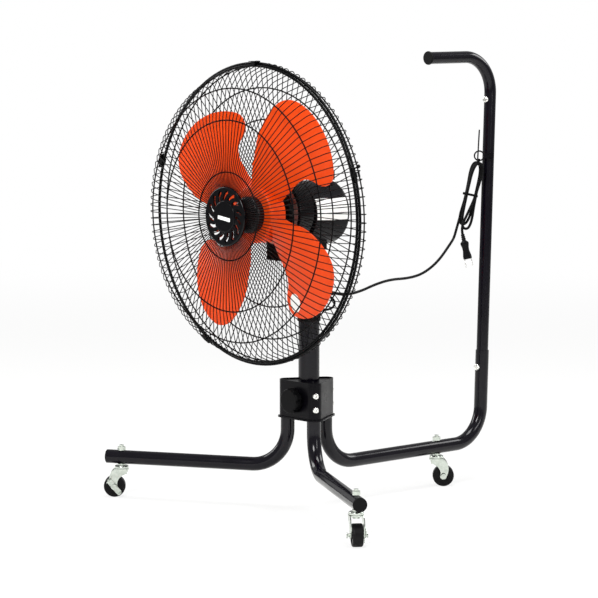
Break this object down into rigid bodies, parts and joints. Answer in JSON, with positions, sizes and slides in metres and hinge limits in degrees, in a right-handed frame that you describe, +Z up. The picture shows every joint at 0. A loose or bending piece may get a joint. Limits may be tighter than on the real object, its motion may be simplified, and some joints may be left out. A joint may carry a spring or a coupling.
{
  "type": "pedestal fan on a caster stand",
  "caption": "Caged pedestal fan with orange blades on a mast, on a tubular caster stand with a push handle and a coiled cord.",
  "frame": {"origin": "on the floor under the mast's axis, at the mount floor_stand", "axes": "+Z up along the mast, -Y the way the fan blows, +Y towards the push handle, +X to the right seen from the front"},
  "size_m": [0.6971, 0.6981, 0.8197],
  "materials": {
    "black_powder_coat": "glossy black powder coat on steel tube",
    "black_wire": "black powder-coated wire",
    "zinc_plate": "bright zinc-plated steel",
    "screw_steel": "nickel-plated screws",
    "black_plastic": "moulded black plastic, satin",
    "black_gloss_plastic": "glossy black plastic",
    "orange_plastic": "moulded orange plastic, satin",
    "black_rubber": "black rubber",
    "wheel_black": "black wheel, slight sheen",
    "cord_black": "black PVC cord",
    "black_paint_metal": "black painted sheet metal",
    "cast_black": "black painted casting",
    "aluminium_bright": "bright aluminium",
    "lamination_steel": "steel laminations",
    "copper_winding": "enamelled copper coils",
    "shaft_steel": "ground steel",
    "gear_nylon": "natural nylon",
    "capacitor_case": "pale plastic case",
    "plug_black": "moulded black plug with bright pins"
  },
  "bodies": {
    "stand": {"stand_bracket": "black_powder_coat", "stand_screws": "screw_steel", "front_leg_left": "black_powder_coat", "front_leg_right": "black_powder_coat", "rear_leg": "black_powder_coat", "tube_end_caps": "black_rubber", "handle_post": "black_powder_coat", "handle_grip": "black_powder_coat", "caster_stems": "zinc_plate", "mast": "black_powder_coat", "mast_collar": "black_plastic", "neck_housing": "cast_black", "cord_glands": "black_rubber", "cord_hook": "black_paint_metal", "swing_lead": "cord_black", "power_cord": "cord_black", "cord_hank": "cord_black", "cord_tie": "black_plastic", "power_plug": "plug_black"},
    "lock_knob_body": {"lock_knob": "black_plastic"},
    "swing_head": {"swing_yoke": "cast_black"},
    "tilt_knob_body": {"tilt_knob": "black_plastic"},
    "fan_head": {"motor_foot": "cast_black", "motor_front_cover": "black_gloss_plastic", "motor_rear_cover": "black_paint_metal", "guard_washer": "aluminium_bright", "stator": "lamination_steel", "windings": "copper_winding", "motor_bearings": "shaft_steel", "switch_box": "black_plastic", "switch_box_lid": "black_plastic", "speed_switch": "gear_nylon", "capacitor": "capacitor_case", "rear_guard": "black_wire", "rear_guard_rings": "black_wire", "guard_nut": "black_plastic", "front_guard": "black_wire", "front_guard_rings": "black_wire", "front_badge": "black_gloss_plastic"},
    "speed_knob_body": {"speed_knob": "black_plastic"},
    "rotor": {"motor_shaft": "shaft_steel", "rotor_core": "lamination_steel", "blade_set": "orange_plastic", "spinner_cap": "black_gloss_plastic"},
    "swing_gear": {"worm_wheel": "gear_nylon"},
    "swing_knob_body": {"swing_knob": "black_plastic"},
    "left_caster": {"caster_left_fork": "zinc_plate"},
    "left_wheel": {"caster_left_wheel": "wheel_black"},
    "left_brake": {"caster_left_brake": "zinc_plate"},
    "right_caster": {"caster_right_fork": "zinc_plate"},
    "right_wheel": {"caster_right_wheel": "wheel_black"},
    "right_brake": {"caster_right_brake": "zinc_plate"},
    "rear_caster": {"caster_rear_fork": "zinc_plate"},
    "rear_wheel": {"caster_rear_wheel": "wheel_black"},
    "rear_brake": {"caster_rear_brake": "zinc_plate"},
    "clip_1": {"guard_clip_1": "black_plastic"},
    "clip_2": {"guard_clip_2": "black_plastic"},
    "clip_3": {"guard_clip_3": "black_plastic"},
    "clip_4": {"guard_clip_4": "black_plastic"},
    "clip_5": {"guard_clip_5": "black_plastic"}
  },
  "joints": [
    {"name": "lock_knob_turn", "type": "hinge", "parent": "stand", "child": "lock_knob_body", "pos_m": [0, -0.04, 0.199], "axis": [0, -1, 0], "range_deg": [0, 180]},
    {"name": "left_caster_swivel", "type": "hinge", "parent": "stand", "child": "left_caster", "pos_m": [-0.31437, -0.1815, 0.05], "axis": [0, 0, 1], "continuous": true},
    {"name": "left_wheel_roll", "type": "hinge", "parent": "left_caster", "child": "left_wheel", "pos_m": [-0.32323, -0.19101, 0.02], "axis": [0.7314, -0.682, 0], "continuous": true},
    {"name": "left_brake_rock", "type": "hinge", "parent": "left_caster", "child": "left_brake", "pos_m": [-0.32323, -0.19101, 0.02], "axis": [0.7314, -0.682, 0], "range_deg": [-12, 12]},
    {"name": "right_caster_swivel", "type": "hinge", "parent": "stand", "child": "right_caster", "pos_m": [0.31437, -0.1815, 0.05], "axis": [0, 0, 1], "continuous": true},
    {"name": "right_wheel_roll", "type": "hinge", "parent": "right_caster", "child": "right_wheel", "pos_m": [0.32488, -0.18914, 0.02], "axis": [0.5878, 0.809, 0], "continuous": true},
    {"name": "right_brake_rock", "type": "hinge", "parent": "right_caster", "child": "right_brake", "pos_m": [0.32488, -0.18914, 0.02], "axis": [0.5878, 0.809, 0], "range_deg": [-12, 12]},
    {"name": "rear_caster_swivel", "type": "hinge", "parent": "stand", "child": "rear_caster", "pos_m": [0, 0.328, 0.05], "axis": [0, 0, 1], "continuous": true},
    {"name": "rear_wheel_roll", "type": "hinge", "parent": "rear_caster", "child": "rear_wheel", "pos_m": [0.00887, 0.33751, 0.02], "axis": [-0.7314, 0.682, 0], "continuous": true},
    {"name": "rear_brake_rock", "type": "hinge", "parent": "rear_caster", "child": "rear_brake", "pos_m": [0.00887, 0.33751, 0.02], "axis": [-0.7314, 0.682, 0], "range_deg": [-12, 12]},
    {"name": "head_swing", "type": "hinge", "parent": "stand", "child": "swing_head", "pos_m": [0, 0, 0.41], "axis": [0, 0, 1], "range_deg": [-45, 45]},
    {"name": "head_tilt", "type": "hinge", "parent": "swing_head", "child": "fan_head", "pos_m": [0, 0, 0.445], "axis": [1, 0, 0], "range_deg": [-20, 20]},
    {"name": "tilt_knob_turn", "type": "hinge", "parent": "swing_head", "child": "tilt_knob_body", "pos_m": [0.03, 0, 0.445], "axis": [1, 0, 0], "range_deg": [0, 180]},
    {"name": "speed_knob_turn", "type": "hinge", "parent": "fan_head", "child": "speed_knob_body", "pos_m": [0.035, -0.052, 0.468], "axis": [1, 0, 0], "range_deg": [0, 150]},
    {"name": "blade_spin", "type": "hinge", "parent": "fan_head", "child": "rotor", "pos_m": [0, -0.129, 0.54], "axis": [0, -1, 0], "continuous": true},
    {"name": "swing_gear_turn", "type": "hinge", "parent": "fan_head", "child": "swing_gear", "pos_m": [0.01895, 0.033, 0.54], "axis": [0, 0, 1], "continuous": true},
    {"name": "swing_knob_pull", "type": "slide", "parent": "fan_head", "child": "swing_knob_body", "axis": [0, 0, 1], "range_m": [0, 0.006]},
    {"name": "clip_1_open", "type": "hinge", "parent": "fan_head", "child": "clip_1", "pos_m": [0, -0.1275, 0.806], "axis": [-1, 0, 0], "range_deg": [0, 30]},
    {"name": "clip_2_open", "type": "hinge", "parent": "fan_head", "child": "clip_2", "pos_m": [-0.25298, -0.1275, 0.6222], "axis": [-0.309, 0, -0.9511], "range_deg": [0, 30]},
    {"name": "clip_3_open", "type": "hinge", "parent": "fan_head", "child": "clip_3", "pos_m": [-0.1322, -0.1275, 0.30917], "axis": [0.8678, 0, -0.497], "range_deg": [0, 30]},
    {"name": "clip_4_open", "type": "hinge", "parent": "fan_head", "child": "clip_4", "pos_m": [0.17868, -0.1275, 0.34295], "axis": [0.7408, 0, 0.6717], "range_deg": [0, 30]},
    {"name": "clip_5_open", "type": "hinge", "parent": "fan_head", "child": "clip_5", "pos_m": [0.25298, -0.1275, 0.6222], "axis": [-0.309, 0, 0.9511], "range_deg": [0, 30]}
  ],
  "couplings": [
    {"joint": "swing_gear_turn", "follows": "blade_spin", "ratio": 0.033333}
  ]
}
